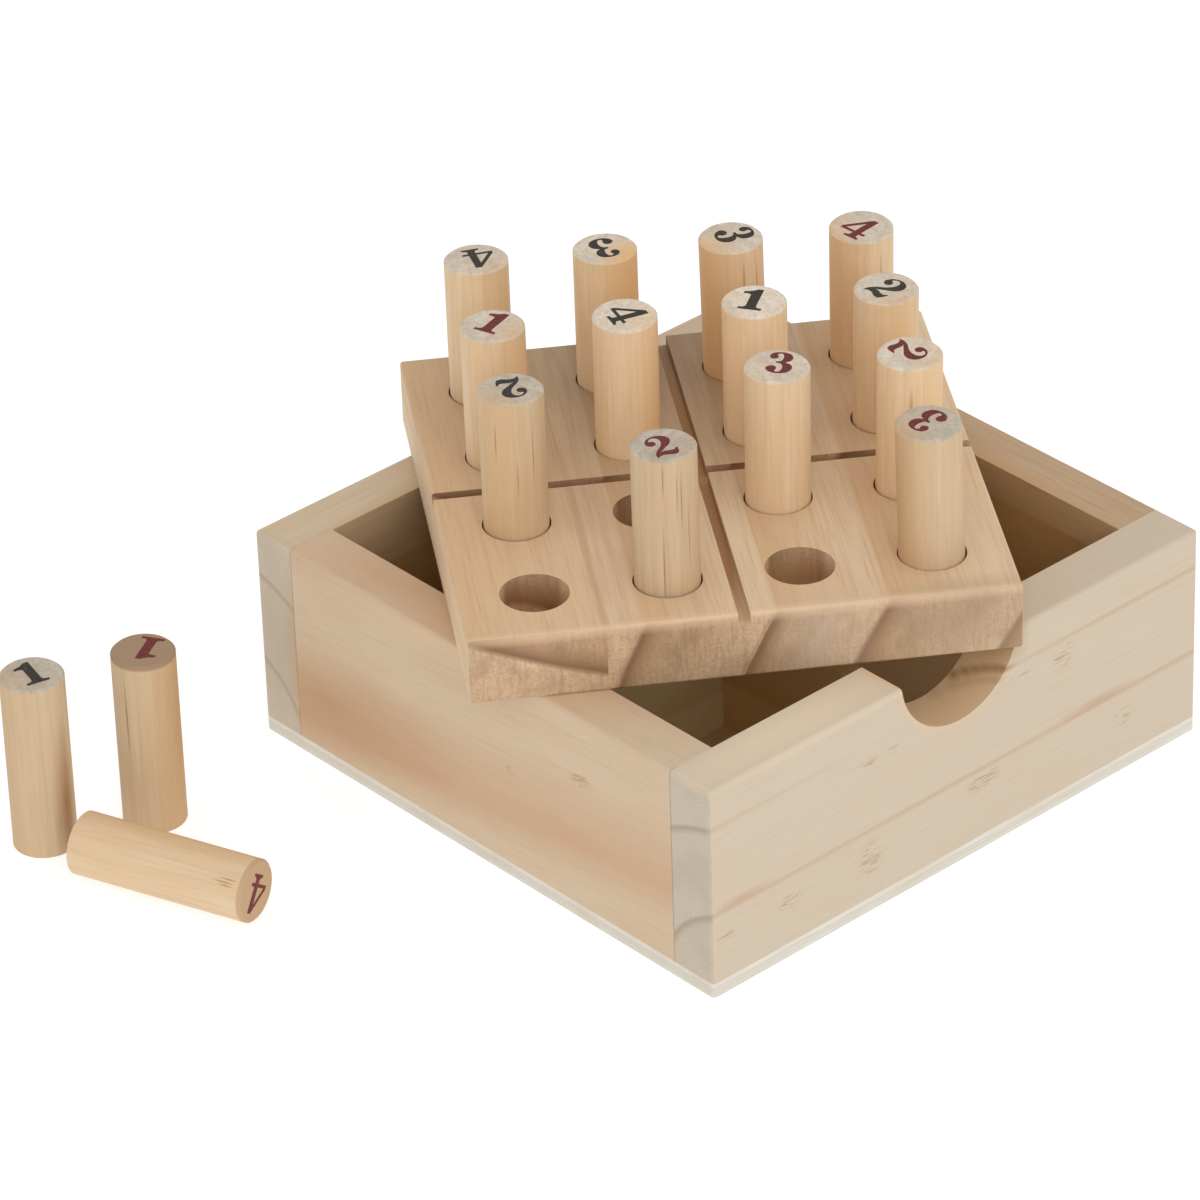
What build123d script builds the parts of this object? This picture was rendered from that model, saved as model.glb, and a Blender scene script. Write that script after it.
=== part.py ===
from build123d import *
import math
import os

# A travel number game in pine: an open box with a plywood floor and a crossed divider, a thick
# pegboard lying askew on its rim, thirteen numbered pegs in the board and three beside the box.
# Millimetres. The origin is the middle of the box's underside, the notched wall faces -Y, +Z is up.

# Box
box_side = 125.0
wall_thickness = 10.4
wall_height = 41.5
floor_thickness = 3.0
corner_ease = 0.8
notch_radius = 14.9
notch_centre_above_rim = 1.5
notch_ease = 0.6

# Crossed divider in the box
slat_thickness = 4.0
slat_height = 26.8
slat_end_gap = 0.2
halving_gap = 0.1
crossing_left = 1.2

# Pegboard
board_to_wall_gap = 1.35
board_thickness = 13.4
board_ease = 0.6
hole_to_edge = 14.15
hole_depth = 9.0
groove_width = 2.3
groove_depth = 2.3
groove_left = 0.35

# Pegs
peg_diameter = 12.2
peg_length = 37.0
peg_end_ease = 0.4
peg_to_hole_gap = 0.35
peg_seat_gap = 0.05

# How the board was put down on the box
board_turn = -34.1
board_shift_x = -3.0
board_shift_y = 2.4

# The pegs in the board: rows from the back, columns from the left, None for an empty hole
layout = (
    ("peg_black_4_a", "peg_black_3_a", "peg_black_3_b", "peg_red_4_a"),
    ("peg_red_1_a", "peg_black_4_b", "peg_black_1_a", "peg_black_2_a"),
    ("peg_black_2_b", None, "peg_red_3_a", "peg_red_2_a"),
    (None, "peg_red_2_b", None, "peg_red_3_b"),
)

# How far each of them leans to the right and to the back, as a ratio of the most that its loose
# hole allows
lean_ratios = {
    "peg_black_4_a": (0.0, 0.4),
    "peg_black_3_a": (0.0, 0.2),
    "peg_black_3_b": (-0.2, 0.0),
    "peg_red_4_a": (0.0, -0.3),
    "peg_red_1_a": (-0.1, 0.1),
    "peg_black_4_b": (0.0, -0.3),
    "peg_black_1_a": (0.0, -0.1),
    "peg_black_2_a": (0.2, -0.1),
    "peg_black_2_b": (0.0, 0.4),
    "peg_red_3_a": (0.1, 0.0),
    "peg_red_2_a": (0.2, -0.1),
    "peg_red_2_b": (0.0, 0.3),
    "peg_red_3_b": (-0.3, -0.4),
}

# The pegs on the table, from the middle of the box's left side
loose_black_out = 54.1
loose_black_back = 62.6
loose_red_out = 34.4
loose_red_back = 54.3
lying_out = 48.6
lying_back = 32.2
lying_turn = -70.2

# How far off a plane an edge may lie and still be picked as one in it
picking_band = 0.01

# Sizes that follow from the ones above
half_side = box_side / 2
inner_side = box_side - 2 * wall_thickness
rim_height = floor_thickness + wall_height
board_side = inner_side - 2 * board_to_wall_gap
holes_per_side = len(layout)
hole_pitch = (board_side - 2 * hole_to_edge) / (holes_per_side - 1)
peg_radius = peg_diameter / 2
hole_radius = peg_radius + peg_to_hole_gap
hole_floor = board_thickness - hole_depth
slat_length = inner_side - 2 * slat_end_gap
most_lean = math.degrees(math.atan(2 * peg_to_hole_gap / hole_depth))


def block(x_size, y_size, z_size, x=0.0, y=0.0, z=0.0):
    """A box with its underside's middle at x, y, z."""
    return Pos(x, y, z) * Box(x_size, y_size, z_size, align=(Align.CENTER, Align.CENTER, Align.MIN))


def edges_at(solid, axis, place):
    """The solid's edges that lie in the plane square to axis at place."""
    return solid.edges().filter_by_position(axis, place - picking_band, place + picking_band)


def finger_notch():
    """The round bite through the front wall, with an eased mouth on both of the wall's faces."""
    place = Pos(0, -half_side + wall_thickness / 2, rim_height + notch_centre_above_rim)
    bite = Cylinder(notch_radius, 2 * wall_thickness)
    for side in (0, 180):
        mouth = Cone(notch_radius - notch_ease, notch_radius + notch_ease, 2 * notch_ease)
        bite += Rot(side, 0, 0) * Pos(0, 0, wall_thickness / 2) * mouth
    return place * Rot(90, 0, 0) * bite


def end_wall():
    """A full-length wall, as it stands at the front: outer and top edges eased, inner ones sharp."""
    outer_y = -half_side
    wall = block(box_side, wall_thickness, wall_height, y=outer_y + wall_thickness / 2, z=floor_thickness)
    outer = edges_at(wall, Axis.Y, outer_y) - edges_at(wall, Axis.Z, floor_thickness)
    ends = edges_at(wall, Axis.Z, rim_height).filter_by(Axis.Y)
    return fillet(outer + ends, corner_ease)


def side_wall():
    """A short wall between the two end walls, as it stands at the left: only its top outer edge eased."""
    outer_x = -half_side
    wall = block(wall_thickness, inner_side, wall_height, x=outer_x + wall_thickness / 2, z=floor_thickness)
    top_outer = edges_at(wall, Axis.X, outer_x).filter_by(Axis.Y).sort_by(Axis.Z)[-1]
    return fillet(top_outer, corner_ease)


def bottom_panel():
    """The plywood floor, glued under the walls and flush with them."""
    panel = block(box_side, box_side, floor_thickness)
    return fillet(panel.edges().filter_by(Axis.Z), corner_ease)


def slat(slot_at_top, slot_left):
    """A slat along X with half of its height slotted near the middle, for the crossing one."""
    strip = block(slat_length, slat_thickness, slat_height, z=floor_thickness)
    slot_width = slat_thickness + 2 * halving_gap
    slot_height = slat_height / 2 + halving_gap
    slot_foot = slat_height - slot_height if slot_at_top else 0
    slot_z = floor_thickness + slot_foot
    return strip - block(slot_width, 2 * slat_thickness, slot_height, x=-slot_left, z=slot_z)


def hole_place(row, column):
    """The middle of a hole on the board, from the board's own middle."""
    middle = (holes_per_side - 1) / 2
    return (column - middle) * hole_pitch, (middle - row) * hole_pitch


def playing_board():
    """The pegboard on its own: eased block, blind holes and the two crossing grooves."""
    board = block(board_side, board_side, board_thickness)
    board = fillet(board.edges(), board_ease)
    for row in range(holes_per_side):
        for column in range(holes_per_side):
            x, y = hole_place(row, column)
            board -= Pos(x, y, hole_floor) * Cylinder(
                hole_radius, 2 * hole_depth, align=(Align.CENTER, Align.CENTER, Align.MIN)
            )
    groove_floor = board_thickness - groove_depth
    board -= block(groove_width, 2 * board_side, 2 * groove_depth, x=-groove_left, z=groove_floor)
    board -= block(2 * board_side, groove_width, 2 * groove_depth, z=groove_floor)
    return board


def peg():
    """A piece of dowel standing on its sawn foot, with the edge of its printed end chamfered."""
    dowel = Cylinder(peg_radius, peg_length, align=(Align.CENTER, Align.CENTER, Align.MIN))
    return chamfer(dowel.edges().filter_by(GeomType.CIRCLE).sort_by(Axis.Z)[-1], peg_end_ease)


def lean_direction(lean_right, lean_back):
    """The unit vector along a leaning peg in the board's frame, and its angle from upright."""
    right = math.tan(math.radians(lean_right * most_lean))
    back = math.tan(math.radians(lean_back * most_lean))
    along = Vector(right, back, 1).normalized()
    return along, math.acos(along.Z)


def standing_peg(row, column, lean_right, lean_back):
    """A peg in its hole, in the board's frame: it crosses the hole's axis at half depth, and the
    lowest point of its foot stops just above the hole's floor."""
    along, angle = lean_direction(lean_right, lean_back)
    x, y = hole_place(row, column)
    crossing = Vector(x, y, hole_floor + hole_depth / 2)
    depth = hole_depth / 2 - peg_seat_gap - peg_radius * math.sin(angle)
    foot = crossing - along * (depth / math.cos(angle))
    return Plane(foot, x_dir=(1, 0, -along.X / along.Z), z_dir=along) * peg()


board_place = Pos(board_shift_x, board_shift_y, rim_height) * Rot(0, 0, board_turn)

parts = {
    "front_wall": end_wall() - finger_notch(),
    "back_wall": Rot(0, 0, 180) * end_wall(),
    "left_wall": side_wall(),
    "right_wall": Rot(0, 0, 180) * side_wall(),
    "bottom_panel": bottom_panel(),
    "divider_across": slat(slot_at_top=True, slot_left=crossing_left),
    "divider_lengthwise": Pos(-crossing_left, 0, 0) * Rot(0, 0, 90) * slat(slot_at_top=False, slot_left=0),
    "playing_board": board_place * playing_board(),
}

for row, names in enumerate(layout):
    for column, name in enumerate(names):
        if name is None:
            continue
        parts[name] = board_place * standing_peg(row, column, *lean_ratios[name])
        axis = lean_direction(*lean_ratios[name])[0].rotate(Axis.Z, board_turn)
        print(f"{name} leans along {axis.X:.6f}, {axis.Y:.6f}, {axis.Z:.6f}")

parts["peg_black_1_b"] = Pos(-half_side - loose_black_out, loose_black_back, 0) * peg()
parts["peg_red_1_b"] = Pos(-half_side - loose_red_out, loose_red_back, 0) * peg()
lying_place = Pos(-half_side - lying_out, lying_back, peg_radius) * Rot(0, 0, lying_turn)
parts["peg_red_4_b"] = lying_place * Rot(0, 90, 0) * Pos(0, 0, -peg_length / 2) * peg()

os.makedirs("parts", exist_ok=True)
for name, solid in parts.items():
    export_step(solid, f"parts/{name}.step")
    print(f"{name}: {solid.volume / 1000:.2f} cm3")
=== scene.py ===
# %% [markdown]
# # A travel number game in pine
# An open box of glued pine boards with a plywood floor, a thick pegboard lying askew on its rim, and
# sixteen dowel pegs with a number printed on one end. The construction comes packed, at its real
# size, so this lesson only adds what the eye reads as wood and ink: growth rings that run through
# each board from face to end, fibres, end grain, and the printed numerals.
#
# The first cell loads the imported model. Everything is in metres, in the model's own frame.

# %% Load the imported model
import math

import bpy
import numpy as np
from mathutils import Matrix, Vector
from mathutils.geometry import tessellate_polygon


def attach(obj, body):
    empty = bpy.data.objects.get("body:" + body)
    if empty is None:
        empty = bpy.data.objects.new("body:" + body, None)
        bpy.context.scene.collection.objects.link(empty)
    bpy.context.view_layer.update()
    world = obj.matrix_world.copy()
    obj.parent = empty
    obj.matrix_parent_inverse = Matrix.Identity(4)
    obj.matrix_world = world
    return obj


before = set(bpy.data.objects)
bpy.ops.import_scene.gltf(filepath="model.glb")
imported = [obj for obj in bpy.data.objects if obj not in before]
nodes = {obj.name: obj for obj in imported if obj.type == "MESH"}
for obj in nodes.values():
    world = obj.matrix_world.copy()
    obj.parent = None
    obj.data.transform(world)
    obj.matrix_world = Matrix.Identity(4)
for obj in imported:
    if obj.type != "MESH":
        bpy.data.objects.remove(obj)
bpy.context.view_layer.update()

mm = 0.001

# %% [markdown]
# ## The camera
# A long lens stands about 1.3 m away, well above the table, so upright edges stay nearly parallel.
# It could be placed by hand until the picture looks right. Here its heading, drop and roll are
# angles, and it looks at a point on the rim, so that each value can be changed by itself.

# %% Camera
camera_heading = math.radians(41.29)
camera_drop = math.radians(32.37)
camera_roll = math.radians(-1.98)
camera_aim = Vector((-33.09, -1.67, 44.5)) * mm
camera_distance = 1278.63 * mm
lens_length = 207.96
sensor_width = 36

camera_turn = (
    Matrix.Rotation(-camera_heading, 4, "Z")
    @ Matrix.Rotation(math.pi / 2 - camera_drop, 4, "X")
    @ Matrix.Rotation(camera_roll, 4, "Z")
)
camera_data = bpy.data.cameras.new("photo_camera")
camera_data.lens = lens_length
camera_data.sensor_width = sensor_width
camera = bpy.data.objects.new("photo_camera", camera_data)
camera.matrix_world = (
    Matrix.Translation(camera_aim) @ camera_turn @ Matrix.Translation((0, 0, camera_distance))
)
bpy.context.scene.collection.objects.link(camera)
bpy.context.scene.camera = camera

# Without a film curve, a surface in full light keeps the colour of its hex code
bpy.context.scene.view_settings.view_transform = "Standard"
print("camera at", [round(c / mm) for c in camera.matrix_world.translation], "mm")

# %% [markdown]
# ## Colours and nodes
# Wood colours are easiest to judge as the hex codes of a picture, but a shader adds light in linear
# values, so one function turns the code into those. A second small function adds a node, sets its
# options and fills its inputs with numbers or with other nodes' outputs, which keeps each material
# below readable as a list of steps.

# %% Colour and node helpers
def linear(code):
    """The linear colour of an sRGB hex code: below 0.04045 a straight line, above it a 2.4 power."""
    channels = np.array([int(code[i:i + 2], 16) for i in (1, 3, 5)]) / 255
    curved = ((channels + 0.055) / 1.055) ** 2.4
    return (*np.where(channels <= 0.04045, channels / 12.92, curved), 1.0)


def add(tree, kind, inputs, output=0, stops=(), **settings):
    """Adds a shader node and returns one of its outputs. stops are a colour ramp's places and colours."""
    node = tree.nodes.new("ShaderNode" + kind)
    for name, value in settings.items():
        setattr(node, name, value)
    for name, value in inputs.items():
        if isinstance(value, bpy.types.NodeSocket):
            tree.links.new(value, node.inputs[name])
        else:
            node.inputs[name].default_value = value
    for index, (place, colour) in enumerate(stops):
        elements = node.color_ramp.elements
        stop = elements[index] if index < 2 else elements.new(place)
        stop.position = place
        stop.color = colour
    return node.outputs[output] if node.outputs else None


def new_material(name):
    """An empty material and its node tree."""
    material = bpy.data.materials.new(name)
    material.use_nodes = True
    material.node_tree.nodes.clear()
    return material, material.node_tree


print("mid grey, #808080, is", round(linear("#808080")[0], 3), "of white in linear light")

# %% [markdown]
# ## Studio
# The game was shot on a glowing white sweep: upright faces are as bright as flat ones, and nothing
# casts a shadow on the ground, while the board darkens behind its front rows of pegs. So an even
# white surround is helped by a wide softbox on the camera's side, low enough to be caught by the
# pegs. A floor that glows more than it reflects fills the uprights from below, and hardly shows a
# shadow or the tint of the wood that stands on it.

# %% Floor, world and lamp
floor_size = 6.0
floor_grey = "#BCBCBC"
floor_glow = 0.65
world_strength = 0.8
lamp_power = 9.0
lamp_size = 1.3
lamp_place = Vector((-0.7, -1.35, 1.25))

half_floor = floor_size / 2
floor_mesh = bpy.data.meshes.new("studio_floor")
floor_corners = [(-half_floor, -half_floor, 0), (half_floor, -half_floor, 0),
                 (half_floor, half_floor, 0), (-half_floor, half_floor, 0)]
floor_mesh.from_pydata(floor_corners, [], [(0, 1, 2, 3)])
floor = bpy.data.objects.new("studio_floor", floor_mesh)
bpy.context.scene.collection.objects.link(floor)

# A sheet of matt acrylic lit from below: it has no gloss, so it reads as empty white
sweep, tree = new_material("lit_matt_acrylic_sweep")
matt = add(tree, "BsdfDiffuse", {"Color": linear(floor_grey)})
glow = add(tree, "Emission", {"Color": linear("#FFFFFF"), "Strength": floor_glow})
lit_sheet = add(tree, "AddShader", {0: matt, 1: glow})
add(tree, "OutputMaterial", {"Surface": lit_sheet})
floor_mesh.materials.append(sweep)

world = bpy.data.worlds.new("white_studio")
world.use_nodes = True
world.node_tree.nodes["Background"].inputs["Color"].default_value = (1, 1, 1, 1)
world.node_tree.nodes["Background"].inputs["Strength"].default_value = world_strength
bpy.context.scene.world = world

lamp_data = bpy.data.lights.new("front_softbox", "AREA")
lamp_data.energy = lamp_power
lamp_data.size = lamp_size
lamp = bpy.data.objects.new("front_softbox", lamp_data)
lamp_turn = lamp_place.to_track_quat("Z", "Y").to_matrix().to_4x4()
lamp.matrix_world = Matrix.Translation(lamp_place) @ lamp_turn
bpy.context.scene.collection.objects.link(lamp)
print("floor", floor_size, "m, lamp", lamp_power, "W")

# %% [markdown]
# ## Growth rings
# Every board was cut out of a round trunk, so one pattern explains its face, its edge and its end
# grain: rings about the pith, the trunk's middle line, which mostly lies outside the board. A painted
# stripe would look right on one face only. Here the pattern is a solid one: the distance from the
# pith, counted in years, less its whole part. It is 0 in the pale wood of spring, climbs to 1 in the
# darker summer wood and drops back at the sharp line where the next year starts.
#
# A ring wave gives years of one width. Where the years on the real piece differ in width enough to be
# seen, a colour ramp takes the lines one by one instead.

# %% Growth rings through a board
# Along the grain the bends of the rings are this many times as long as across it
ring_stretch = 10

# The bends of uneven rings across the grain, and the part of the ramp in which the age drops
bends_per_mm = 0.12
drop = 0.004


def grain_frame(tree, origin, turn, stretch):
    """Object coordinates from an origin in mm: X along the grain in steps of stretch mm, Y and Z
    across it in mm."""
    coordinates = add(tree, "TexCoord", {}, output="Object")
    return add(tree, "Mapping", {
        "Vector": coordinates,
        "Location": Vector(origin) * mm,
        "Rotation": turn,
        "Scale": (stretch * mm, mm, mm),
    }, vector_type="TEXTURE")


def growth_rings(tree, pith, turn, spacing, line_at, waver=0.15):
    """The year's age from 0 to 1: (distance from the pith - line_at) / spacing, less its whole part.
    A ring wave turns once every pi / 10 units, which sets its scale; waver bends the rings."""
    return add(tree, "TexWave", {
        "Vector": grain_frame(tree, pith, turn, ring_stretch),
        "Scale": math.pi / 10 / spacing,
        "Distortion": waver,
        "Detail": 3.0,
        "Detail Scale": 2.5,
        "Phase Offset": -2 * math.pi * line_at / spacing,
    }, output="Fac", wave_type="RINGS", rings_direction="X", wave_profile="SAW")


def uneven_rings(tree, pith, turn, lines, waver):
    """The year's age where the years differ in width: lines are their distances from the pith in mm,
    and from one to the next the age climbs from 0 to 1, then drops. waver bends the rings, in mm."""
    along_and_across = grain_frame(tree, pith, turn, ring_stretch)
    across = add(tree, "VectorMath", {0: along_and_across, 1: (0, 1, 1)}, operation="MULTIPLY")
    distance = add(tree, "VectorMath", {0: across}, output="Value", operation="LENGTH")
    bends = add(tree, "TexNoise", {"Vector": across, "Scale": bends_per_mm, "Detail": 4.0})
    bend = add(tree, "MapRange", {"Value": bends, "To Min": -waver / 2, "To Max": waver / 2})
    bent = add(tree, "Math", {0: distance, 1: bend}, operation="ADD")
    places = (np.array(lines) - lines[0]) / (lines[-1] - lines[0])
    stops = []
    for start, end in zip(places[:-1], places[1:]):
        stops += [(start + drop, (0, 0, 0, 1)), (end, (1, 1, 1, 1))]
    along_ramp = add(tree, "MapRange", {"Value": bent, "From Min": lines[0], "From Max": lines[-1]})
    return add(tree, "ValToRGB", {"Fac": along_ramp}, stops=stops)


# %% [markdown]
# ## Sanded pine
# What the eye meets on an unfinished pine board is pale wood with warmer summer wood, fine fibres
# along the grain, a broad drift in colour, and greyer, speckled ends where the fibres are cut across.
# A few resin canals were cut open and show as short brown dashes, stacked in small groups. All of
# these share the grain's direction, so one function puts them together, and each board hands in its
# colours as stops over the year's age, for the side of the grain and for its end.
#
# Real pine fibres are about 0.03 mm wide and its pores not much wider. Neither would show from where
# the camera stands, so the streaks and specks below are drawn ten to twenty times as coarse.

# %% Stains
def stain(tree, shade, code, mask, low, high, most=1.0):
    """The shade with another colour mixed in by a mask: none where the mask is low or less, and most
    of it where the mask is high or more."""
    part = add(tree, "MapRange", {"Value": mask, "From Min": low, "From Max": high, "To Max": most})
    return add(tree, "MixRGB", {"Fac": part, "Color1": shade, "Color2": linear(code)})


def patch(tree, turn, middle, reach, most=1.0):
    """A soft ellipsoid mask: most at its middle, 0 at its half sizes, which are along the grain and
    twice across it, in mm."""
    coordinates = add(tree, "TexCoord", {}, output="Object")
    inside = add(tree, "Mapping", {
        "Vector": coordinates,
        "Location": Vector(middle) * mm,
        "Rotation": turn,
        "Scale": Vector(reach) * mm,
    }, vector_type="TEXTURE")
    distance = add(tree, "VectorMath", {0: inside}, output="Value", operation="LENGTH")
    return add(tree, "MapRange", {"Value": distance, "From Min": 1.0, "From Max": 0.0, "To Max": most})


# %% A year's colours, and noise along the grain
def summer_from(age, spring, summer):
    """A year's colours as (age, colour): spring wood up to an age, then a slide to summer wood."""
    return (0.02, spring), (age, spring), (0.98, summer)


def year_ramp(tree, age, colours):
    """The year's colours over its age, with a soft step to the next year."""
    first, last = linear(colours[0][1]), linear(colours[-1][1])
    between = [(a + b) / 2 for a, b in zip(first, last)]
    slide = [(place, linear(code)) for place, code in colours]
    return add(tree, "ValToRGB", {"Fac": age}, stops=[(0.0, between), *slide, (1.0, between)])


def grain_noise(tree, turn, size, stretch, detail=3.0):
    """Noise with grains of a size in mm, drawn out along the grain."""
    return add(tree, "TexNoise", {"Vector": grain_frame(tree, (0, 0, 0), turn, stretch),
                                  "Scale": 1 / size, "Detail": detail, "Roughness": 0.6})


# %% The side of the grain
def side_colour(tree, age, broad, fibres, side, streaks, drift):
    """The year's colours, with a broad drift towards one colour and fine streaks in another."""
    shade = year_ramp(tree, age, side)
    shade = stain(tree, shade, drift[0], broad, 0.4, 0.7, drift[1])
    return stain(tree, shade, streaks[0] or side[-1][1], fibres, 0.46, 0.72, streaks[1])


# %% The end of the grain
quarter = math.pi / 2


def end_colour(tree, age, broad, pores, end, specks, saw_marks):
    """The year's colours, with blotches and specks in one darker colour, and upright saw marks."""
    dark = specks[0] or end[-1][1]
    cut = year_ramp(tree, age, end)
    cut = stain(tree, cut, dark, broad, 0.45, 0.7, 0.4)
    cut = stain(tree, cut, dark, pores, 0.45, 0.7, specks[1])
    if saw_marks:
        upright = grain_noise(tree, (0, quarter, 0), size=0.7, stretch=9)
        cut = stain(tree, cut, dark, upright, 0.46, 0.7, saw_marks)
    return cut


# %% Resin canals
canal_brown = "#A27C54"


def with_canals(tree, turn, colour, canals):
    """The colour with brown dashes where a fine noise along the grain is high, inside soft groups."""
    rows = grain_noise(tree, turn, size=0.32, stretch=8, detail=0.0)
    for middle, half_length, half_height in canals:
        group = patch(tree, turn, middle, (half_length, half_length, half_height), 2.0)
        dashes = add(tree, "MapRange", {"Value": rows, "From Min": 0.56, "From Max": 0.66})
        mark = add(tree, "Math", {0: group, 1: dashes}, operation="MULTIPLY", use_clamp=True)
        colour = stain(tree, colour, canal_brown, mark, 0.0, 1.0, 0.5)
    return colour


# %% Unvarnished surface
def raw_surface(tree, colour, roughness, relief):
    """Ends a tree with a surface that was never varnished: it mirrors half of what varnish would, so
    a light on it shows as a broad, faint sheen."""
    surface = add(tree, "BsdfPrincipled", {"Base Color": colour, "Roughness": roughness,
                                           "Normal": relief, "Specular IOR Level": 0.25})
    add(tree, "OutputMaterial", {"Surface": surface})


# %% Sanded wood as a material
def timber(name, along, turn, years, side, end, streaks=(None, 0.3), drift=("#CFA98A", 0.3, 14),
           specks=(None, 0.4, 0.45), saw_marks=0.0, tone=1.0, patches=(), canals=()):
    """A wood material: matt, with a soft sheen along the grain from the sanding. along is the grain's
    direction and turn the rotation that leads X there; years adds the year's age to the node tree;
    side and end are the year's colours as (age, colour). streaks are (colour, most), drift and specks
    (colour, most, size in mm), where no colour means summer wood's, and tone makes the whole piece
    paler or darker. patches are stains as (colour, middle, reach, most), and canals are groups of
    dashes as (middle, half length, half height)."""
    material, tree = new_material(name)
    age = years(tree)
    broad = grain_noise(tree, turn, size=drift[2], stretch=4, detail=2.0)
    fibres = grain_noise(tree, turn, size=0.6, stretch=30)
    pores = grain_noise(tree, turn, size=specks[2], stretch=1)

    normal = add(tree, "TexCoord", {}, output="Normal")
    facing = add(tree, "VectorMath", {0: normal, 1: along}, output="Value", operation="DOT_PRODUCT")
    facing = add(tree, "Math", {0: facing}, operation="ABSOLUTE")
    is_end = add(tree, "MapRange", {"Value": facing, "From Min": 0.5, "From Max": 0.68})
    shade = side_colour(tree, age, broad, fibres, side, streaks, drift)
    cut = end_colour(tree, age, broad, pores, end, specks, saw_marks)
    colour = add(tree, "MixRGB", {"Fac": is_end, "Color1": shade, "Color2": cut})
    for code, middle, reach, most in patches:
        part = patch(tree, turn, middle, reach, most)
        colour = add(tree, "MixRGB", {"Fac": part, "Color1": colour, "Color2": linear(code)})
    if canals:
        colour = with_canals(tree, turn, colour, canals)
    colour = add(tree, "VectorMath", {0: colour, "Scale": tone}, operation="SCALE")

    relief = add(tree, "MixRGB", {"Fac": is_end, "Color1": fibres, "Color2": pores})
    bump = add(tree, "Bump", {"Height": relief, "Strength": 0.2, "Distance": 0.1 * mm})
    rough = add(tree, "MapRange", {"Value": fibres, "To Min": 0.55, "To Max": 0.75})
    raw_surface(tree, colour, rough, bump)
    return material


def finish_node(name, material):
    """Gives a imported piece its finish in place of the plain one."""
    for slot in nodes[name].material_slots:
        slot.material = material
    print(name, "is", material.name)


# %% [markdown]
# ## Box walls
# The front and the back wall run full length, so their ends show on the box's sides. Both were sawn
# from one batch with the pith just outside and below the box, which gives two nearly level lines on
# the long face and slanting ones on the ends. The upper of them also crosses the round face of the
# finger notch. The left wall was cut nearly flat to the rings, so one broad warm band crosses it,
# soft at both edges, and climbs a little towards the front.
#
# What shows beside the rings is put in as stains: wood that the cutter of the notch polished to a warm
# tan, and glue that came out of the joints at the corners. A paler strip under the rim is painted light.

# %% Rings and colours of the front and the back wall
level = (0, 0, 0)
outer_face = 62.5
wall_middle = 57.3
inner_face = 52.1
ring_spacing = 17.6
dark_ring = 25.0
pith_out = 72.7
pith_down = 4.6
pale_end = summer_from(0.9, "#CDC1AE", "#B3A28C")
glue_brown = "#8C7A64"
glue_reach = (3, 0.35, 60)
print("rings", ring_spacing, "mm apart, about a pith", round(pith_out - outer_face, 1), "mm outside")

# %% Rings across the finger notch
notch_radius = 14.9
notch_height = 46.0
notch_tan = "#E6C59B"
notch_brown = "#A0744E"


def ring_in_notch(radius, y):
    """Where a ring of that radius crosses the notch's round face, at a depth y in the wall: the
    ring's circle about the pith gives the height, and the notch's own circle the place along it."""
    up = math.sqrt(radius**2 - (y + pith_out)**2) - pith_down
    return math.sqrt(notch_radius**2 - (notch_height - up)**2), y, up


# The rings that the notch lays bare: the radius of each and how dark it is. The third is the dark
# ring of the long face.
notch_rings = ((49.5, 0.4), (46.5, 0.45), (dark_ring + ring_spacing, 0.8), (41.0, 0.3))
notch_streaks = [(notch_brown, ring_in_notch(radius, y), (3, 2.4, 0.9), dark)
                 for radius, dark in notch_rings for y in np.linspace(-62, -53, 6)]
print(len(notch_rings), "rings across the notch")

# %% Front wall
# Sanded, unfinished pine: pale and matt, so its few lines stay soft
front_side = summer_from(0.93, "#D6C6B0", "#CDB397")
line_brown = "#BD9470"
front_stains = [
    (line_brown, (36, -outer_face, 18.6), (12, 2, 1.6), 0.5),
    (line_brown, (-55, -outer_face, 18.6), (9, 2, 1.4), 0.5),
    ("#D6C6B0", (-20, -outer_face, 37), (60, 3, 4), 1.0),
    # Painted light: a paler strip along the top of the front wall, under the rim
    ("#EAD6BA", (-35, -wall_middle, 45), (48, 9, 3), 1.3),
    (notch_tan, (0, -wall_middle, notch_height), (16.6, 22, 16.6), 10),
    ("#B08A66", (13.5, -wall_middle, 42), (6, 9, 8), 0.8),
    *notch_streaks,
    (glue_brown, (-outer_face, -inner_face, 25), glue_reach, 0.8),
]

# Each group of resin canals: how far right of the middle and how high, half its length and height
canal_groups = ((26.5, 33, 3.5, 3.5), (-23, 12, 3.5, 4.5), (-43, 12, 3.5, 2.0), (5.5, 15, 5.0, 2.5),
                (43, 12, 3.0, 2.5), (-21, 32.7, 7.0, 1.2), (-59, 12, 3.0, 1.6), (15.5, 33.5, 3.0, 1.2))
front_canals = [((right, -outer_face, up), half_length, half_height)
                for right, up, half_length, half_height in canal_groups]
finish_node("front_wall", timber(
    "sanded_pine_front_wall", (1, 0, 0), level,
    lambda tree: growth_rings(tree, (0, -pith_out, -pith_down), level, ring_spacing, dark_ring),
    front_side, pale_end, drift=("#D8BFA0", 0.25, 14), tone=0.9, patches=front_stains,
    canals=front_canals))
print(len(front_canals), "groups of resin canals")

# %% Back wall
# The same pine, a little warmer, and painted tan inside: painted shade, tinted by the light that the
# walls bounce to each other
back_side = summer_from(0.6, "#CFBCA1", "#BB946D")
painted_bounce_tan = "#C39458"
finish_node("back_wall", timber(
    "sanded_pine_back_wall", (1, 0, 0), level,
    lambda tree: growth_rings(tree, (0, pith_out, -pith_down), level, ring_spacing, line_at=24.0),
    back_side, pale_end, drift=("#C9A886", 0.2, 14), tone=0.99,
    patches=[(painted_bounce_tan, (0, 50, 22), (95, 8, 34), 1.5),
             ("#A8957F", (-outer_face, wall_middle, 20), (3, 12, 40), 0.45),
             (glue_brown, (-outer_face, inner_face, 25), glue_reach, 0.8)]))

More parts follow.
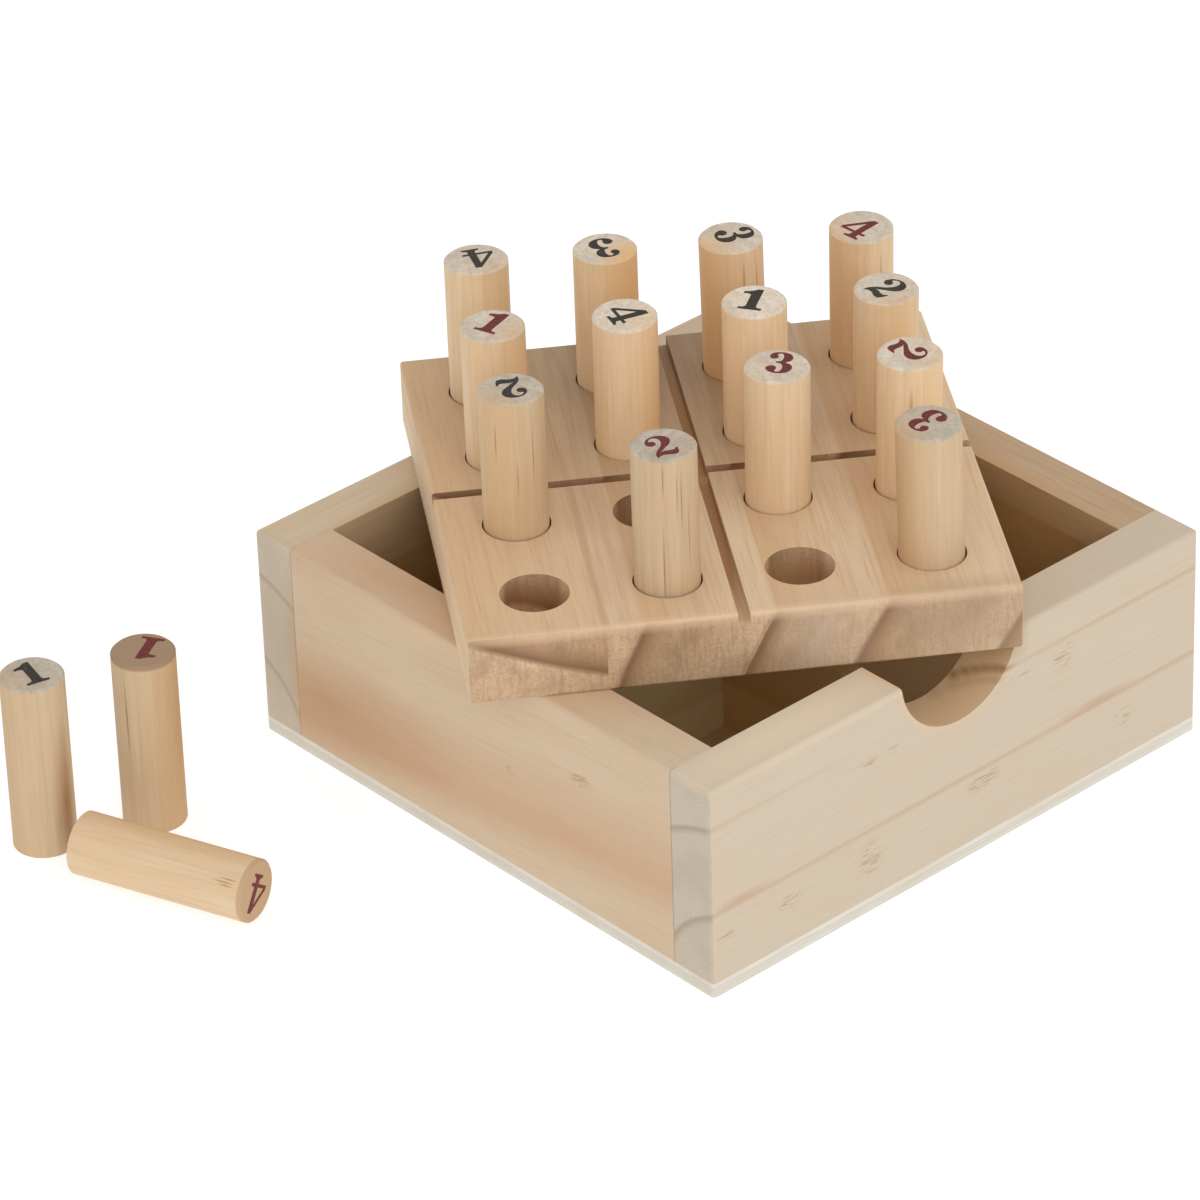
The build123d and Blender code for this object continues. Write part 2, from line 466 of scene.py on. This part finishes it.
# %% Side walls
# The left wall's grain climbs by a tenth towards the front
left_grain = (0, 1, -0.1)
left_turn = (0, math.radians(5.7), quarter)
right_turn = (0, 0, quarter)
left_side = ((0.09, "#D0BA9E"), (0.45, "#D0BA9E"), (0.9, "#C8A484"))
right_side = summer_from(0.5, "#BFA486", "#A98059")
side_end = summer_from(0.6, "#CCBFAF", "#A89681")

# The same pine: a darker corner low at the back, a rim that is warm in front and pale at the back
finish_node("left_wall", timber(
    "sanded_pine_left_wall", left_grain, left_turn,
    lambda tree: growth_rings(tree, (-37.5, 0, 70), left_turn, spacing=34.0, line_at=66.4, waver=0.5),
    left_side, side_end, streaks=("#B99470", 0.22), drift=("#CBAE8E", 0.4, 8),
    patches=[("#B9916B", (-outer_face, 44, 14), (40, 6, 13), 0.75),
             ("#DDB98F", (-57, -20, 46), (85, 9, 3.5), 0.9),
             ("#D9C6AA", (-57, 50, 46), (32, 9, 3.5), 0.6)],
    canals=[((-outer_face, -28, 31), 3.5, 1.8), ((-outer_face, -9, 24), 2.0, 1.0)]))

# The right wall is seen from inside, over the board: browner, partly its own wood and partly painted
# shade, and painted tan inside like the back wall
finish_node("right_wall", timber(
    "sanded_pine_right_wall", (0, 1, 0), right_turn,
    lambda tree: growth_rings(tree, (95, 0, -30), right_turn, spacing=20, line_at=80.0),
    right_side, side_end, streaks=(None, 0.4), drift=("#B8946E", 0.35, 14),
    patches=[(painted_bounce_tan, (50, 0, 22), (95, 8, 34), 1.5)]))

# %% [markdown]
# ## Divider slats
# Two thin slats cross in the box and part it into four compartments. Only a strip of each shows, in
# the notch and beside the board. The walls' finish would look brown in that shade, so the slats get
# the same solid pattern in the palest colours, with narrower years.

# %% Divider slats
# Each slat's grain, the turn that leads X there, and a year's colours
slats = {
    "divider_across": ((1, 0, 0), level, summer_from(0.3, "#EFDDAE", "#E8D2A0")),
    "divider_lengthwise": ((0, 1, 0), (0, 0, quarter), summer_from(0.3, "#EDC688", "#E2B878")),
}
# Painted shade at the front end of the lengthwise slat, under the notch, where the board shades it
painted_shade_by_notch = ("#8F7048", (0, -50, 30), (14, 12, 4), 1.2)
for name, (along, turn, side) in slats.items():
    finish_node(name, timber(
        "sanded_pine_" + name, along, turn,
        lambda tree: growth_rings(tree, (90, 90, 60), turn, spacing=6, line_at=20, waver=1.5),
        side, side_end, drift=("#D9B67E", 0.4, 14), patches=[painted_shade_by_notch]))

# %% [markdown]
# ## Plywood floor
# The floor is thin plywood: three layers of pale veneer, the middle one turned crosswise, so its edge
# shows as two pale bands with a slightly darker one between them, and a thin line of glue on each
# side of that. Bands by height are all it takes. The walls hide the rest, apart from the corners of
# the four compartments.

# %% Three-ply edge and face
# Raw poplar plywood: its edge is paler and greyer than the pine above, and stays matt
veneer = 1.0
lower_ply = linear("#D9D5C9")
middle_ply = linear("#D6D0C4")
upper_ply = linear("#DDD9CF")
ply_glue = linear("#CDC5B6")
plywood, tree = new_material("raw_poplar_plywood")
height = add(tree, "SeparateXYZ", {"Vector": grain_frame(tree, (0, 0, 0), level, 1)}, output="Z")
band = add(tree, "MapRange", {"Value": height, "From Min": 0.0, "From Max": 3 * veneer})
shade = add(tree, "ValToRGB", {"Fac": band}, stops=[
    (0.0, lower_ply), (0.31, lower_ply), (0.34, ply_glue), (0.36, middle_ply),
    (0.64, middle_ply), (0.67, ply_glue), (0.70, upper_ply), (1.0, upper_ply)])
lengthwise = grain_noise(tree, level, size=0.4, stretch=25)
shade = stain(tree, shade, "#BDB09A", lengthwise, 0.45, 0.8, 0.4)
cloudy = grain_noise(tree, level, size=9, stretch=3, detail=2.0)
shade = stain(tree, shade, "#CBB79C", cloudy, 0.45, 0.7, 0.3)

# Its upper face, the floor of the compartments, is warmer than its edge
normal = add(tree, "TexCoord", {}, output="Normal")
upward = add(tree, "SeparateXYZ", {"Vector": normal}, output="Z")
shade = stain(tree, shade, "#DDB67E", upward, 0.7, 0.9, 0.8)
bump = add(tree, "Bump", {"Height": lengthwise, "Strength": 0.2, "Distance": 0.1 * mm})
raw_surface(tree, shade, 0.7, bump)
finish_node("bottom_panel", plywood)

# %% [markdown]
# ## Pegboard
# The pegboard was glued up from two staves before it was planed and drilled: a narrow one at the left
# and a wide one, each with its own pith. On the front edge, which is end grain, the wide stave shows
# slanting rings that start sharp and dark and fade to the right, while the narrow one holds a single
# dark wedge. On top the same rings lie nearly flat and only tint the wood paler and browner in turn.

# %% The board's own frame
board_turn = math.radians(-34.1)
board_middle = Vector((-3.0, 2.4, 51.2))
board_right = Vector((math.cos(board_turn), math.sin(board_turn), 0))
board_back = Vector((-math.sin(board_turn), math.cos(board_turn), 0))
board_grain = (0, 0, board_turn + quarter)
seam_at = -25.4

# The wide stave's pith and year lines, as distances from the pith: good years and poor ones
wide_pith = (229, 0, -106)
year_lines = (190.0, 208.3, 232.0, 250.1, 271.9, 294.0)

# The narrow stave's pith, the width of its years, and the one year line that shows on it
narrow_pith = (20, 0, 165)
narrow_spacing = 24
narrow_line = 174.3


def on_board(right, back, up=0.0):
    """A point in the board's own frame, in mm, from the middle of its thickness."""
    return board_middle + board_right * right + board_back * back + Vector((0, 0, up))


def board_years(tree):
    """The year's age in the two staves, joined at the glue line."""
    wide = uneven_rings(tree, on_board(*wide_pith), board_grain, year_lines, waver=0.8)
    narrow = growth_rings(tree, on_board(*narrow_pith), board_grain, narrow_spacing, narrow_line,
                          waver=0.1)
    from_seam = grain_frame(tree, on_board(seam_at, 0), board_grain, 1)
    across = add(tree, "SeparateXYZ", {"Vector": from_seam}, output="Y")
    in_narrow = add(tree, "Math", {0: across, 1: 0.0}, operation="GREATER_THAN")
    return add(tree, "MixRGB", {"Fac": in_narrow, "Color1": wide, "Color2": narrow})


# %% Painted shade in the grooves and holes
hole_pitch = 24.4
empty_holes = ((-1.5, -1.5), (0.5, -1.5), (-0.5, -0.5))
groove_left = 0.35
groove_up = 4.1
hole_shade_brown = "#A37442"
groove_shade_brown = "#A87F58"

# Painted shade: the grooves and the empty holes are painted brown inside, as the shade down in them
painted_recess_shade = [(groove_shade_brown, on_board(-groove_left, 0, groove_up), (56, 2.0, 2.8), 3),
         (groove_shade_brown, on_board(0, 0, groove_up), (2.0, 56, 2.8), 3)]
for column, row in empty_holes:
    middle = on_board(column * hole_pitch, row * hole_pitch, 1)
    painted_recess_shade.append((hole_shade_brown, middle, (8.5, 8.5, 6.5), 1.6))
print(len(painted_recess_shade), "burnt places")

# %% Pegboard wood
# Planed pine, browner than the walls: calm on top, and lively on the sawn end, which shows the saw
board_side = summer_from(0.3, "#D4BC9C", "#CBAA83")
board_end = ((0.02, "#CAAD8D"), (0.35, "#BE9F7F"), (0.8, "#B39474"), (0.9, "#9E7D60"),
             (0.97, "#7C5B43"))
# Painted shade: the top darkens and browns towards the back, where the front rows of pegs shade it
painted_shade_back = ("#735942", on_board(-4, 48, 6), (74, 54, 20), 0.85)
greyer_end = [("#9C8670", on_board(40, -50, 0), (6, 20, 14), 0.75),
              ("#C0AC98", on_board(14, -50, 0), (6, 11, 14), 0.6)]
broken_edge = ("#D8BB9B", on_board(0, -50.9, 6.9), (2.2, 90, 2.6), 0.9)
seam_brown = ("#A9765A", on_board(seam_at, -30, 6), (60, 1.0, 9), 0.5)
finish_node("playing_board", timber(
    "planed_pine_board", board_back, board_grain, board_years, board_side, board_end,
    streaks=("#B5926F", 0.47), drift=("#C4A182", 0.45, 7), specks=("#86674A", 0.38, 0.55),
    saw_marks=0.35, tone=1.13,
    patches=[seam_brown, painted_shade_back, *greyer_end, broken_edge, *painted_recess_shade]))

# %% [markdown]
# ## Dowel pegs
# The pegs were sawn from birch-like dowel. Each one shows fine lengthwise fibres, and many were cut
# where paler and warmer wood meet, so one side is cream and the other yellow. Their printed ends are
# greyer, on two of them browner, and the rings there are too fine to count. One function makes all of
# them; what differs is how pale each peg is, partly its own wood and partly painted light that lifts
# the back rows, the side on which the warm wood lies, and the fine dark lines along some.

# %% Peg frames
peg_names = [name for name in nodes if name.startswith("peg_")]
print(len(peg_names), "pegs")


def peg_frame(name):
    """A peg's printed end and the direction in which it points, from its mesh: the long axis of its
    points, and the mean of the points that lie furthest along it. A standing peg's printed end is
    its upper one, and a lying peg's the one in front."""
    points = np.empty(len(nodes[name].data.vertices) * 3)
    nodes[name].data.vertices.foreach_get("co", points)
    points = points.reshape(-1, 3)
    middle = points.mean(0)
    axis = np.linalg.svd(points - middle, full_matrices=False)[2][0]
    if axis[2] < -0.5 or (abs(axis[2]) < 0.5 and axis[1] > 0):
        axis = -axis
    reach = (points - middle) @ axis
    end = points[reach > reach.max() - 0.01 * mm].mean(0)
    return Vector(end), Vector(axis)


# %% Colours of the dowel
cream = "#D5BC9B"
warm = "#CDA77A"
peg_side = summer_from(0.1, cream, "#D0B694")
peg_end = summer_from(0.1, "#CDC0AE", "#C6B8A5")

# How pale each peg is painted, partly its own wood and partly painted light that lifts the back rows
# out of the shade of the pegs in front, and where its warm wood lies as the camera sees it: the
# direction from the axis, -1 for the left to 1 for the right, and its strength
peg_tones_and_warm_sides = {
    "peg_black_4_a": (1.15, 0.6, 0.4), "peg_black_3_a": (1.22, 0.8, 1.6),
    "peg_black_3_b": (1.16, -0.7, 1.1), "peg_red_4_a": (1.16, -0.9, 0.8),
    "peg_red_1_a": (1.16, 0.8, 0.7), "peg_black_4_b": (1.28, 0.9, 0.6),
    "peg_black_1_a": (1.34, -0.9, 0.0), "peg_black_2_a": (1.16, 0.3, 0.6),
    "peg_black_2_b": (1.0, -0.5, 0.7), "peg_red_3_a": (1.19, -0.9, 0.3),
    "peg_red_2_a": (1.26, 0.9, 0.5), "peg_red_2_b": (0.94, 0.9, 0.3),
    "peg_red_3_b": (0.95, -0.9, 0.9), "peg_black_1_b": (0.94, -0.9, 0.5),
    "peg_red_1_b": (0.92, 0.9, 1.1), "peg_red_4_b": (1.12, 0.95, 1.1),
}

# Fine dark lines along some pegs: the direction from the axis, then how far below the printed end
# the line's middle is, half its length and half its width, in mm
dark_lines = {
    "peg_red_2_b": [(-0.08, 23, 12, 0.25), (-0.06, 4, 5, 0.2), (0.3, 7, 6, 0.15), (0.42, 9, 8, 0.2),
                    (0.62, 16, 9, 0.15)],
    "peg_black_2_b": [(0.55, 12, 7, 0.15), (-0.45, 8, 5, 0.2), (0.1, 16, 5, 0.15)],
    "peg_red_2_a": [(0.0, 10, 7, 0.3)],
    "peg_black_3_b": [(0.7, 9, 8, 0.2), (0.3, 6, 4, 0.15)],
    "peg_red_4_a": [(0.5, 8, 6, 0.2), (-0.2, 14, 5, 0.15)],
    "peg_red_4_b": [(0.45, 3, 2.5, 0.2), (0.2, 4, 3, 0.2), (-0.1, 3.5, 2, 0.15)],
    "peg_red_1_b": [(-0.5, 12, 10, 0.3)],
    "peg_black_1_b": [(0.75, 26, 20, 1.6)],
}
fine_brown = "#9A7048"

# The two browner ends: their colour, and how deep and how far across it reaches
brown_ends = {"peg_red_1_b": "#A98B6F", "peg_red_4_b": "#B99977"}
end_brown_reach = (1.2, 12, 12)

# %% Places on a peg
camera_right = camera_turn.to_3x3() @ Vector((1, 0, 0))
to_camera = camera_turn.to_3x3() @ Vector((0, 0, 1))
peg_radius = 6.1
half_peg_length = 18.5


def on_peg(end, axis, aside, below):
    """The point in mm on a peg's side that the camera sees aside from the axis and so far below the
    printed end, and the direction straight out of the wood there."""
    outward = camera_right * aside + to_camera * math.sqrt(1 - aside**2)
    outward = (outward - axis * outward.dot(axis)).normalized()
    return end / mm - axis * below + outward * peg_radius, outward


def peg_marks(name, end, axis, warm_middle, strength):
    """The stains on one peg: its warm side, its fine dark lines and, on two pegs, a brown end."""
    marks = [(warm, warm_middle, (60, 8, 8), strength)]
    for aside, below, half_length, half_width in dark_lines.get(name, ()):
        on_side = on_peg(end, axis, aside, below)[0]
        marks.append((fine_brown, on_side, (half_length, half_width, 2 * half_width), 0.9))
    if name in brown_ends:
        marks.append((brown_ends[name], end / mm, end_brown_reach, 3))
    return marks


# %% Dowel wood
# Sanded birch dowel, unfinished: finer than the pine, so it reads as smooth with straight streaks
draw = np.random.default_rng(4)
for name in peg_names:
    end, axis = peg_frame(name)
    turn = axis.to_track_quat("X", "Z").to_euler()
    tone, warm_aside, strength = peg_tones_and_warm_sides[name]
    warm_middle, outward = on_peg(end, axis, warm_aside, half_peg_length)
    pith = end / mm + outward * draw.uniform(25, 40)
    spacing = draw.uniform(2.2, 3.6)
    finish_node(name, timber(
        "sanded_dowel_" + name[4:], axis, turn,
        lambda tree: growth_rings(tree, pith, turn, spacing, line_at=0.0, waver=1.2),
        peg_side, peg_end, streaks=("#BF9F75", 0.38), drift=("#CEAE83", 0.5, 5),
        specks=("#A39481", 0.5, 0.9), tone=tone,
        patches=peg_marks(name, end, axis, warm_middle, strength)))

# %% [markdown]
# ## Printed numerals
# Each peg carries one heavy numeral with slab feet and ball ends, printed in black or dark red, and
# no two pegs stand turned the same way. Text from a font would be quick, but the built-in one has no
# such feet. So each numeral is an outline: a few points, round or corner, joined by cubic stretches,
# filled, and given the thickness of a film of ink that has sunk a little into the wood.

# %% Outlines of the numerals
# Points as (right, up, kind): each numeral is 1 high, stands on 0 and has its middle at 0
round_point, corner = 0, 1
numeral_outlines = {
    "1": [[(-0.30, 0.00, corner), (0.30, 0.00, corner), (0.30, 0.09, corner),
           (0.18, 0.11, round_point), (0.135, 0.17, corner), (0.135, 1.00, corner),
           (0.00, 1.00, corner), (-0.14, 0.90, round_point), (-0.33, 0.84, corner),
           (-0.33, 0.75, corner), (-0.20, 0.755, round_point), (-0.125, 0.72, corner),
           (-0.125, 0.17, corner), (-0.18, 0.11, round_point), (-0.30, 0.09, corner)]],
    "2": [[(-0.32, 0.00, corner), (-0.19, 0.075, round_point), (-0.04, 0.06, round_point),
           (0.10, 0.00, round_point), (0.24, 0.03, round_point), (0.33, 0.28, corner),
           (0.275, 0.28, corner), (0.22, 0.215, round_point), (0.10, 0.215, round_point),
           (-0.03, 0.25, round_point), (-0.14, 0.235, corner), (0.06, 0.39, round_point),
           (0.24, 0.53, round_point), (0.325, 0.72, round_point), (0.25, 0.91, round_point),
           (0.02, 1.00, round_point), (-0.22, 0.91, round_point), (-0.31, 0.72, round_point),
           (-0.25, 0.60, round_point), (-0.14, 0.585, round_point), (-0.06, 0.67, round_point),
           (-0.10, 0.78, round_point), (-0.19, 0.81, round_point), (-0.12, 0.91, round_point),
           (-0.02, 0.925, round_point), (0.07, 0.84, round_point), (0.075, 0.68, round_point),
           (-0.02, 0.50, round_point), (-0.20, 0.32, round_point), (-0.30, 0.16, round_point)]],
    "3": [[(-0.30, 0.27, round_point), (-0.32, 0.19, round_point), (-0.22, 0.05, round_point),
           (-0.01, -0.01, round_point), (0.22, 0.06, round_point), (0.325, 0.26, round_point),
           (0.27, 0.43, round_point), (0.12, 0.52, corner), (0.24, 0.60, round_point),
           (0.29, 0.75, round_point), (0.21, 0.93, round_point), (-0.01, 1.00, round_point),
           (-0.22, 0.94, round_point), (-0.29, 0.81, round_point), (-0.24, 0.69, round_point),
           (-0.13, 0.69, round_point), (-0.07, 0.77, round_point), (-0.11, 0.87, round_point),
           (-0.08, 0.92, round_point), (0.00, 0.93, round_point), (0.05, 0.84, round_point),
           (0.055, 0.70, round_point), (0.01, 0.58, round_point), (-0.10, 0.55, corner),
           (-0.10, 0.49, corner), (0.02, 0.45, round_point), (0.075, 0.34, round_point),
           (0.075, 0.18, round_point), (0.02, 0.075, round_point), (-0.06, 0.07, round_point),
           (-0.09, 0.12, round_point), (-0.06, 0.20, round_point), (-0.09, 0.31, round_point),
           (-0.21, 0.34, round_point)]],
    "4": [[(-0.10, 0.00, corner), (0.34, 0.00, corner), (0.34, 0.075, corner),
           (0.235, 0.10, round_point), (0.215, 0.15, corner), (0.215, 0.235, corner),
           (0.37, 0.235, corner), (0.37, 0.325, corner), (0.215, 0.325, corner),
           (0.215, 1.00, corner), (0.06, 1.00, corner), (-0.40, 0.34, corner),
           (-0.40, 0.235, corner), (0.02, 0.235, corner), (0.02, 0.15, corner),
           (0.00, 0.10, round_point), (-0.10, 0.075, corner)],
          [(0.02, 0.325, corner), (-0.285, 0.325, corner), (0.02, 0.77, corner)]],
}
print("points in each outline:", [len(loops[0]) for loops in numeral_outlines.values()])


# %% Smooth outlines
def closed_line(points, steps=6):
    """A closed line through the points, as cubic stretches: each is a blend of its two ends and of
    the slopes there. The slope at a round point follows the line between its neighbours, and at a
    corner it points straight at the next point."""
    table = np.array(points, float)
    here = table[:, :2]
    is_corner = table[:, 2:] == corner
    after = np.roll(here, -1, 0)
    along = after - np.roll(here, 1, 0)
    along /= np.linalg.norm(along, axis=1, keepdims=True)
    step = np.linalg.norm(after - here, axis=1, keepdims=True)
    leave = np.where(is_corner, after - here, along * step)
    arrive = np.where(np.roll(is_corner, -1, 0), after - here, np.roll(along, -1, 0) * step)
    t = np.linspace(0, 1, steps, endpoint=False)[:, None, None]
    line = ((2 * t**3 - 3 * t**2 + 1) * here + (t**3 - 2 * t**2 + t) * leave
            + (3 * t**2 - 2 * t**3) * after + (t**3 - t**2) * arrive)
    return line.transpose(1, 0, 2).reshape(-1, 2)


# %% Ink film
# Real ink is a few thousandths of a millimetre thick. A film as thin as that would flicker, so this
# one is thicker, and a part of it lies in the wood.
ink_depth = 0.01
ink_height = 0.02


def ink_film(name, loops, to_world):
    """A closed film between the two heights: the filled outline above and below, and a wall round
    each loop. Outer loops run anticlockwise and counters clockwise, so each wall faces outwards."""
    flat = np.concatenate(loops)
    triangles = np.array(tessellate_polygon([loop.tolist() for loop in loops]))
    a, b, c = flat[triangles[:, 0]], flat[triangles[:, 1]], flat[triangles[:, 2]]
    turned = np.cross(b - a, c - a) < 0
    triangles[turned] = triangles[turned][:, ::-1]
    count = len(flat)
    starts = np.cumsum([0] + [len(loop) for loop in loops])
    here = np.arange(count)
    after = np.concatenate([np.roll(here[s:e], -1) for s, e in zip(starts[:-1], starts[1:])])
    wall = np.stack([here, after, after + count, here + count], 1)
    heights = np.repeat([-ink_depth, ink_height], count)[:, None]
    points = np.hstack([np.tile(flat, (2, 1)), heights]) * mm
    points = points @ np.array(to_world.to_3x3()).T + np.array(to_world.translation)
    faces = (triangles + count).tolist() + triangles[:, ::-1].tolist() + wall.tolist()
    mesh = bpy.data.meshes.new(name)
    mesh.from_pydata(points.tolist(), [], faces)
    film = bpy.data.objects.new(name, mesh)
    bpy.context.scene.collection.objects.link(film)
    return film


# %% Ink
pore_size = 0.4


def stamping_ink(name, ink, thin):
    """Ink that was stamped on and soaked into end grain: matt, nearly even, and thinner where the
    pores drank it. Real pores are a tenth of pore_size, too fine to show."""
    material, tree = new_material(name)
    place = add(tree, "TexCoord", {}, output="Object")
    pores = add(tree, "TexNoise", {"Vector": place, "Scale": 1 / (pore_size * mm), "Detail": 3.0})
    worn = add(tree, "MapRange", {"Value": pores, "From Min": 0.52, "From Max": 0.75, "To Max": 0.7})
    colour = add(tree, "MixRGB", {"Fac": worn, "Color1": linear(ink), "Color2": linear(thin)})
    bump = add(tree, "Bump", {"Height": pores, "Strength": 0.3, "Distance": 0.05 * mm})
    raw_surface(tree, colour, 0.6, bump)
    return material


inks = {"black": stamping_ink("black_stamping_ink", "#302B27", "#5E5348"),
        "red": stamping_ink("dark_red_stamping_ink", "#6A2526", "#8E5448")}
print([ink.name for ink in inks.values()])

# %% Print the numerals
numeral_size = 7.5

# Each numeral's turn in degrees from upright, anticlockwise, and how far its middle lies right of and
# above the peg's middle, in mm. Upright is the pegboard's back, and on the lying peg the sky.
prints = {
    "peg_black_4_a": (188, 0.6, 0.25), "peg_black_3_a": (192, -0.1, 0.0),
    "peg_black_3_b": (278, 0.9, 0.8), "peg_red_4_a": (308, -0.5, -0.5),
    "peg_red_1_a": (320, 0.5, 0.9), "peg_black_4_b": (286, 0.35, 0.25),
    "peg_black_1_a": (336, 0.0, 0.6), "peg_black_2_a": (298, 0.1, 0.0),
    "peg_black_2_b": (192, 0.25, 0.25), "peg_red_3_a": (342, 0.7, 1.0),
    "peg_red_2_a": (224, -0.1, 1.0), "peg_red_2_b": (18, -0.5, -0.5),
    "peg_red_3_b": (124, -0.1, 0.7), "peg_black_1_b": (20, -0.1, 0.35),
    "peg_red_1_b": (154, 0.8, 0.5), "peg_red_4_b": (142, -0.1, -0.6),
}
for name, (turn, right_by, up_by) in prints.items():
    end, axis = peg_frame(name)
    up = board_back if axis.z > 0.5 else Vector((0, 0, 1))
    up = (up - axis * up.dot(axis)).normalized()
    right = up.cross(axis)
    frame_of_end = Matrix((right, up, axis)).transposed().to_4x4()
    frame_of_end.translation = end + (right * right_by + up * up_by) * mm
    to_world = frame_of_end @ Matrix.Rotation(math.radians(turn), 4, "Z")
    digit = name.split("_")[2]
    loops = [(closed_line(loop) - (0, 0.5)) * numeral_size for loop in numeral_outlines[digit]]
    film = ink_film("numeral_on_" + name, loops, to_world)
    film.data.materials.append(inks[name.split("_")[1]])
    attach(film, name)
print(len(prints), "numerals,", numeral_size, "mm high")
